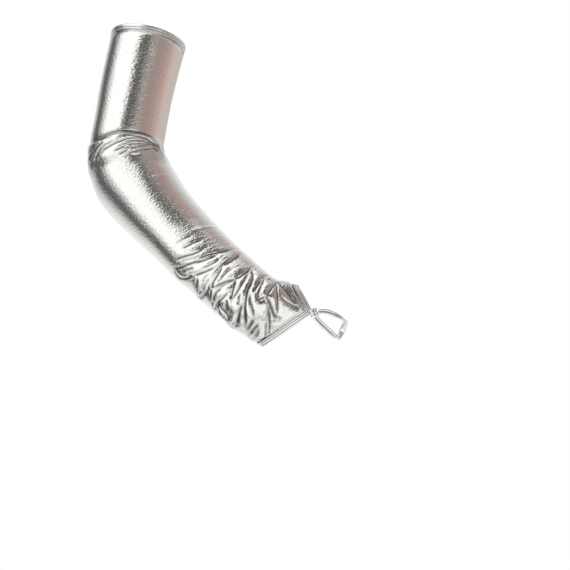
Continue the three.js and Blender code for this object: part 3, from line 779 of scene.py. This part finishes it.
def foil_grain_group():
    """Fine crackle of the foil on the knit: a normal, a gloss that wanders and a mask of worn specks."""
    group = bpy.data.node_groups.new("foil grain", "ShaderNodeTree")
    for label in ("Grain depth", "Gloss"):
        group.interface.new_socket(label, in_out="INPUT", socket_type="NodeSocketFloat")
    for label, kind in (("Normal", "Vector"), ("Roughness", "Float"), ("Specks", "Float")):
        group.interface.new_socket(label, in_out="OUTPUT", socket_type="NodeSocket" + kind)
    given = node(group, "NodeGroupInput").outputs
    place = node(group, "ShaderNodeUVMap", uv_map="cloth").outputs["UV"]
    drawn = node(group, "ShaderNodeMapping", {"Vector": place, "Scale": (0.55, 1, 1)}).outputs["Vector"]
    noise = {"Vector": drawn, "Roughness": 0.6}
    grain = node(group, "ShaderNodeTexNoise", {"Scale": GRAIN_SCALE, "Detail": 1.5, **noise}).outputs["Fac"]
    patches = node(group, "ShaderNodeTexNoise", {"Scale": PATCH_SCALE, "Detail": 4.0, **noise}).outputs["Fac"]
    crackle = {"Height": grain, "Strength": given["Grain depth"], "Distance": 0.0005}
    normal = node(group, "ShaderNodeBump", crackle).outputs["Normal"]
    gloss = maths(group, "MULTIPLY_ADD", maths(group, "SUBTRACT", patches, 0.5), GLOSS_SPREAD, given["Gloss"])
    specks = ranged(group, grain, 0.62, 0.95)
    node(group, "NodeGroupOutput", {"Normal": normal, "Roughness": gloss, "Specks": specks})
    return group


def foil(name, group, colour, worn, depth, gloss, is_shade_painted=True):
    """Silver foil cloth: worn specks show the knit's darker ground, and painted shade darkens its creases."""
    material, tree, shader = new_material(name)
    grained = node(tree, "ShaderNodeGroup", {"Grain depth": depth, "Gloss": gloss}, node_tree=group).outputs
    base = laid_over(tree, "MIX", colour, worn, grained["Specks"])
    if is_shade_painted:
        # Painted shade: a near-black colour laid into the base colour along creases, grooves and edges by the
        # mesh's shade attribute
        fold = node(tree, "ShaderNodeAttribute", attribute_name="painted_shade").outputs["Fac"]
        base = laid_over(tree, "MIX", base, PAINTED_SHADE_COLOUR, fold)
    surface = {"Roughness": grained["Roughness"], "Normal": grained["Normal"]}
    wire(tree, shader, {"Metallic": 1.0, "Base Color": base, **surface})
    return material


def knit_reverse():
    """Uncoated inner side of the knit: fine grey wales."""
    material, tree, shader = new_material("knit reverse")
    uv = node(tree, "ShaderNodeUVMap", uv_map="cloth").outputs["UV"]
    wales = node(tree, "ShaderNodeTexWave", {"Vector": uv, "Scale": 300.0, "Distortion": 1.5}).outputs["Fac"]
    colour = laid_over(tree, "MIX", (0.3, 0.3, 0.31), (0.52, 0.52, 0.53), wales)
    bump = node(tree, "ShaderNodeBump", {"Height": wales, "Strength": 0.4, "Distance": 0.0003})
    surface = {"Roughness": 0.85, "Sheen Weight": 0.2, "Normal": bump.outputs["Normal"]}
    wire(tree, shader, {"Base Color": colour, **surface})
    return material


def stitch_tree():
    """Stitches laid along a guide line at an even pitch, each a small rounded thread."""
    tree = bpy.data.node_groups.new("row of stitches", "GeometryNodeTree")
    sizes = {label: "Float" for label in ("Pitch", "Length", "Thread")}
    for label, kind in {"Guide": "Geometry", **sizes, "Material": "Material"}.items():
        tree.interface.new_socket(label, in_out="INPUT", socket_type="NodeSocket" + kind)
    tree.interface.new_socket("Stitches", in_out="OUTPUT", socket_type="NodeSocketGeometry")

    def step(kind, inputs=(), **settings):
        return node(tree, kind, inputs, **settings).outputs[0]

    given = node(tree, "NodeGroupInput").outputs
    curve = step("GeometryNodeMeshToCurve", {"Mesh": given["Guide"]})
    even = step("GeometryNodeResampleCurve", {"Curve": curve, "Length": given["Pitch"]}, mode="LENGTH")
    bead = step("GeometryNodeMeshUVSphere", {"Segments": 8, "Rings": 5, "Radius": 0.5})
    thread = given["Thread"]
    scale = step("ShaderNodeCombineXYZ", {"X": given["Length"], "Y": thread, "Z": thread})
    shaped = step("GeometryNodeTransform", {"Geometry": bead, "Scale": scale})
    tangent = step("GeometryNodeInputTangent")
    lengthwise = step("FunctionNodeAlignRotationToVector", {"Vector": tangent}, axis="X")
    outward = step("GeometryNodeInputNamedAttribute", {"Name": "outward"}, data_type="FLOAT_VECTOR")
    turned = {"Rotation": lengthwise, "Vector": outward}
    faced = step("FunctionNodeAlignRotationToVector", turned, axis="Z", pivot_axis="X")
    laid = step("GeometryNodeInstanceOnPoints", {"Points": even, "Instance": shaped, "Rotation": faced})
    real = step("GeometryNodeRealizeInstances", {"Geometry": laid})
    smooth = step("GeometryNodeSetShadeSmooth", {"Geometry": real})
    dressed = step("GeometryNodeSetMaterial", {"Geometry": smooth, "Material": given["Material"]})
    node(tree, "NodeGroupOutput", {"Stitches": dressed})
    return tree


def sew(name, rows, tree, material, pitch, length, thread):
    """One piece of stitches along the given rows, each (points in mm, outward directions, closed)."""
    points, outward, edges = [], [], []
    for row, out, closed in rows:
        first = len(points)
        points += (np.asarray(row) * MM).tolist()
        outward += np.asarray(out).tolist()
        edges += [(first + k, first + k + 1) for k in range(len(row) - 1)]
        if closed:
            edges.append((first + len(row) - 1, first))
    mesh = bpy.data.meshes.new(name + " guide")
    mesh.from_pydata(points, edges, [])
    mesh.attributes.new("outward", "FLOAT_VECTOR", "POINT").data.foreach_set("vector", np.ravel(outward))
    guide = placed(name + " guide", mesh)
    modifier = guide.modifiers.new("stitches", "NODES")
    modifier.node_group = tree
    values = {"Pitch": pitch * MM, "Length": length * MM, "Thread": thread * MM, "Material": material}
    for item in tree.interface.items_tree:
        if item.item_type == "SOCKET" and item.in_out == "INPUT" and item.name in values:
            modifier[item.identifier] = values[item.name]
    guide.update_tag()
    depsgraph = bpy.context.evaluated_depsgraph_get()
    depsgraph.update()
    made = bpy.data.meshes.new_from_object(guide.evaluated_get(depsgraph), depsgraph=depsgraph)
    made.name = name
    if "outward" in made.attributes:
        made.attributes.remove(made.attributes["outward"])
    bpy.data.objects.remove(guide)
    return placed(name, made)


def row_on_arm(place, share, lift):
    """A row of stitches round the arm, at a share of a band's width."""
    fine = np.radians(stretches(-20, [(0, 40), (POINT_ANGLE, 130), (180, 230), (340, 320)]))
    s = place(share, fine)
    points = on_arm(s, fine, lift)
    return points, unit(on_arm(s, fine, lift + 1) - points), True


# Places of the mitten's middle, which the lamp faces, of the floor's middle and of the camera, in metres
MITTEN_MIDDLE = (0.06, -0.06, -0.15)
FLOOR_MIDDLE = (0.07, -0.06, -0.62)
CAMERA_PLACE = (0.1452, -3.04, -0.2607)
CAMERA_LENS = 180.45


def softbox(name, azimuth, elevation, away, wide, tall, power):
    """A soft light that faces the mitten's middle. Azimuth 0 is the camera's side, negative to its left."""
    light = bpy.data.lights.new(name, "AREA")
    light.shape = "RECTANGLE"
    light.size, light.size_y = wide, tall
    light.energy = power
    lamp = placed(name, light)
    a, e = math.radians(azimuth), math.radians(elevation)
    way = np.array([math.sin(a) * math.cos(e), -math.cos(a) * math.cos(e), math.sin(e)])
    lamp.location = (np.array(MITTEN_MIDDLE) + way * away).tolist()
    lamp.rotation_euler = (math.pi / 2 - e, 0, math.atan2(way[0], -way[1]))
    lamp.visible_camera = False
    lamp.visible_glossy = False  # the world holds the softbox that the foil mirrors


# What the foil mirrors, as shares of the softbox's brightness, one number where it is grey. Degrees count
# from the camera's side and run aslant: to the left they rise with the height over the horizon, to the right
# they fall with it.
LEFT_SLANT = 1.2
RIGHT_SLANT = -0.5
LEFT_SIDE = [
    (-240, 0.68),
    (-170, 0.63),
    (-152, 0.54),
    (-138, 0.43),
    (-124, 0.26),
    (-112, 0.095),
    (-94, 0.075),
    (-84, 0.13),
    (-74, 0.3),
    (-60, 0.55),
    (-48, 0.82),
    (240, 0.86),
]
RIGHT_SIDE = [
    (-240, 1),
    (-52, 1),
    (-44, 0.8),
    (-38, 0.5),
    (-31, (0.16, 0.157, 0.142)),
    (-25, (0.085, 0.083, 0.074)),
    (-14, (0.08, 0.078, 0.07)),
    (-6, (0.09, 0.087, 0.079)),
    (4, (0.115, 0.112, 0.103)),
    (14, (0.175, 0.17, 0.159)),
    (60, 0.22),
    (82, 0.26),
    (100, 0.33),
    (118, 0.41),
    (134, 0.5),
    (156, 0.62),
    (240, 0.7),
]
# Below, by height over the horizon alone
UNDER_SIDE = [
    (-240, 0.6),
    (-66, 0.62),
    (-58, 0.5),
    (-50, 0.44),
    (-42, 0.66),
    (-34, 0.7),
    (-27, 0.44),
    (-20, 0.36),
    (-14, 0.42),
    (240, 0.4),
]
# Degrees from the first stop of each table to its last one
STOPS_SPAN = 480
STUDIO_STRENGTH = 1.5

# Patches of the room
WARM_TINT = (1.36, 0.94, 0.87)
TABLE_TOP = (0.72, 0.72, 0.71)
LIT_PATCH = (0.33, 0.33, 0.325)
CEILING = (0.6, 0.6, 0.6)
DIM_CORNER = (0.41, 0.37, 0.345)
LOW_LEFT = (0.5, 0.5, 0.5)
ROOM_FLOOR = (0.5, 0.5, 0.49)


def studio_ramp(tree, stops, angle):
    """Colours by degrees, from a table of stops."""
    share = maths(tree, "MULTIPLY_ADD", angle, math.degrees(1) / STOPS_SPAN, 0.5)
    made = node(tree, "ShaderNodeValToRGB", {"Fac": share})
    ramp = made.color_ramp
    for degrees, _ in stops[1:-1]:
        ramp.elements.new(0.5 + degrees / STOPS_SPAN)
    for element, (_, colour) in zip(ramp.elements, stops):
        element.color = (*colour, 1) if isinstance(colour, tuple) else (colour, colour, colour, 1)
    return made.outputs["Color"]


def patch(tree, *sides):
    """A soft-edged patch of the room. A side is an angle, with the degrees where it starts and is full."""
    mask = None
    for angle, start, full in sides:
        side = ranged(tree, angle, math.radians(start), math.radians(full))
        mask = side if mask is None else maths(tree, "MULTIPLY", mask, side)
    return mask


def studio_world():
    """White to the camera. What the foil mirrors is a pale room with a softbox between dark screens."""
    world = bpy.data.worlds.new("studio")
    bpy.context.scene.world = world
    world.use_nodes = True
    tree = world.node_tree
    tree.nodes.clear()
    way = node(tree, "ShaderNodeTexCoord").outputs["Generated"]
    right_of, behind, up = node(tree, "ShaderNodeSeparateXYZ", {"Vector": way}).outputs
    azimuth = maths(tree, "ARCTAN2", right_of, maths(tree, "MULTIPLY", behind, -1))
    elevation = maths(tree, "ARCSINE", up)
    left = studio_ramp(tree, LEFT_SIDE, maths(tree, "MULTIPLY_ADD", elevation, LEFT_SLANT, azimuth))
    right = studio_ramp(tree, RIGHT_SIDE, maths(tree, "MULTIPLY_ADD", elevation, RIGHT_SLANT, azimuth))

    # A warm wall at the right, high up and in a band aslant below
    aslant = maths(tree, "MULTIPLY_ADD", azimuth, 0.37, elevation)
    high = patch(tree, (elevation, 69, 64), (azimuth, 26, 66), (elevation, 43, 52))
    low = patch(tree, (aslant, 29, 35), (aslant, 58, 52), (azimuth, 24, 44))
    warm = maths(tree, "MULTIPLY", maths(tree, "MAXIMUM", high, low), patch(tree, (azimuth, 142, 108)))
    right = laid_over(tree, "MULTIPLY", right, WARM_TINT, warm)

    # A pale table top, a lit patch above it, the ceiling, and a dim corner
    table = patch(tree, (elevation, 26, 13), (azimuth, 46, 28))
    right = laid_over(tree, "LIGHTEN", right, TABLE_TOP, table)
    near = patch(tree, (elevation, 52, 46), (azimuth, 20, 32), (azimuth, 70, 50), (elevation, 36, 43))
    right = laid_over(tree, "LIGHTEN", right, LIT_PATCH, near)
    right = laid_over(tree, "LIGHTEN", right, CEILING, patch(tree, (elevation, 70, 79)))
    corner = patch(tree, (elevation, 15, 5), (azimuth, 95, 120), (elevation, -22, -8))
    right = laid_over(tree, "DARKEN", right, DIM_CORNER, corner)

    # Both sides together, then the floor at the left, the floor all round and what lies under the camera
    walls = laid_over(tree, "DARKEN", left, right, 1.0)
    low_left = patch(tree, (elevation, -25, -36), (azimuth, -50, -66))
    walls = laid_over(tree, "LIGHTEN", walls, LOW_LEFT, low_left)
    room = laid_over(tree, "MIX", ROOM_FLOOR, walls, ranged(tree, up, -0.75, -0.5))
    under = patch(tree, (elevation, -12, -20), (azimuth, -72, -56), (azimuth, 80, 50))
    room = laid_over(tree, "MIX", room, studio_ramp(tree, UNDER_SIDE, elevation), under)

    mirrored = node(tree, "ShaderNodeBackground", {"Color": room, "Strength": STUDIO_STRENGTH})
    white = node(tree, "ShaderNodeBackground", {"Color": (1, 1, 1, 1)})
    path = node(tree, "ShaderNodeLightPath").outputs["Is Camera Ray"]
    shown = {"Fac": path, 1: mirrored.outputs["Background"], 2: white.outputs["Background"]}
    chosen = node(tree, "ShaderNodeMixShader", shown)
    node(tree, "ShaderNodeOutputWorld", {"Surface": chosen.outputs["Shader"]})


def floor():
    """Plain pale floor below the held mitten, a disc that fades out at its rim."""
    rings, around = (0.02, 0.2, 0.35, 0.5), 96
    x, y, z = FLOOR_MIDDLE
    points = [FLOOR_MIDDLE]
    faces = []
    for k, radius in enumerate(rings):
        for j in range(around):
            a = 2 * math.pi * j / around
            points.append((x + radius * math.cos(a), y + radius * math.sin(a), z))
            n = 1 + (j + 1) % around
            if k == 0:
                faces.append((0, 1 + j, n))
            else:
                low = (k - 1) * around
                faces.append((low + 1 + j, low + around + 1 + j, low + around + n, low + n))
    material, tree, shader = new_material("pale floor")
    place = node(tree, "ShaderNodeTexCoord").outputs["Object"]
    away = node(tree, "ShaderNodeVectorMath", {0: place, 1: FLOOR_MIDDLE}, operation="DISTANCE")
    shown = ranged(tree, away.outputs["Value"], 0.15, rings[-1], to_low=0.9, to_high=0, how="SMOOTHSTEP")
    wire(tree, shader, {"Base Color": (0.9, 0.9, 0.89, 1), "Roughness": 0.8, "Alpha": shown})
    return cloth_mesh("floor", np.array(points) / MM, faces, [material])


def camera():
    """The photograph's view: straight at the front, far off."""
    lens = bpy.data.cameras.new("camera")
    lens.lens = CAMERA_LENS
    lens.clip_end = 20
    made = placed("camera", lens)
    made.location = CAMERA_PLACE
    made.rotation_euler = (math.pi / 2, 0, 0)
    bpy.context.scene.camera = made


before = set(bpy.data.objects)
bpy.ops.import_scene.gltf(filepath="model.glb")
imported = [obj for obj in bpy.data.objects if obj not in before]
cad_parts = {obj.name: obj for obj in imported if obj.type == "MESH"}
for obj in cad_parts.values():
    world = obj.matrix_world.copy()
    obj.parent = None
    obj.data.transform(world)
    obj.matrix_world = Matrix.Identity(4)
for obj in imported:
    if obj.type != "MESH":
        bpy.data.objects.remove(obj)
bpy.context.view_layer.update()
camera()
bpy.context.scene.view_settings.view_transform = "Standard"
studio_world()
softbox("key softbox", azimuth=-42, elevation=40, away=2.6, wide=2.7, tall=2.6, power=42)
floor()

SILVER = (0.84, 0.837, 0.815)
grain = foil_grain_group()
knit_foil = foil("foil knit", grain, SILVER, (0.3, 0.3, 0.29), depth=0.8, gloss=0.13)
hem_foil = foil("foil hem", grain, SILVER, (0.4, 0.4, 0.39), depth=0.3, gloss=0.25)
binding_foil = foil("foil binding", grain, (0.96, 0.96, 0.95), (0.7, 0.7, 0.69), depth=0.25, gloss=0.3)
thread_foil = foil(
    "silver thread", grain, (0.45, 0.45, 0.44), (0.25, 0.25, 0.24), depth=0.3, gloss=0.45, is_shade_painted=False
)

sleeve = sleeve_cloth(knit_foil, knit_reverse())
hem = sewn_band(
    "upper_hem_band",
    rolled_profile([(0.0, HEM_GROOVE, 1.0), (HEM_GROOVE, 1.0, 0.85)], HEM_THICKNESS),
    along_hem,
    waver=0.12,
    material=hem_foil,
    shaded_grooves=[HEM_GROOVE],
)
outer_groove, inner_groove = BINDING_GROOVES
binding = sewn_band(
    "hand_binding_tape",
    rolled_profile(
        [(0.0, outer_groove, 1.0), (outer_groove, inner_groove, 1.0), (inner_groove, 1.0, 0.95)],
        BINDING_THICKNESS,
    ),
    along_binding,
    waver=0.08,
    material=binding_foil,
    # Painted shade in both sewn grooves, and a line of painted shade at 0.97 where the binding meets the
    # sleeve
    shaded_grooves=[outer_groove, inner_groove, 0.97],
)
tack = crossing_tack(binding_foil)
strap = finger_strap(binding_foil)

# Stitches lie in the grooves, sizes in millimetres
stitches = stitch_tree()
hem_row = row_on_arm(along_hem, HEM_GROOVE, lift=0.45)
hem_stitches = sew("hem_stitches", [hem_row], stitches, thread_foil, pitch=2.6, length=1.7, thread=0.5)
rows = [row_on_arm(along_binding, share, lift=0.45) for share in BINDING_GROOVES]
binding_stitches = sew("binding_stitches", rows, stitches, thread_foil, pitch=1.7, length=1.0, thread=0.45)
strap_middle, strap_tangent = loop_path(160)
strap_out = strap_facing(strap_middle, strap_tangent)
strap_row = (strap_middle + strap_out * 0.42, strap_out, False)
strap_stitches = sew("strap_stitches", [strap_row], stitches, thread_foil, pitch=1.7, length=1.0, thread=0.4)

for piece, slot in (
    (sleeve, "foil_knit"),
    (hem, "foil_hem"),
    (binding, "foil_binding"),
    (tack, "foil_binding"),
    (strap, "foil_binding"),
    (hem_stitches, "foil_hem"),
    (binding_stitches, "foil_binding"),
    (strap_stitches, "foil_binding"),
):
    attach(piece, "root")
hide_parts("sleeve")
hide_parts("upper_hem")
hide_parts("hand_binding")
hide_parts("crossing")
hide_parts("finger_loop")
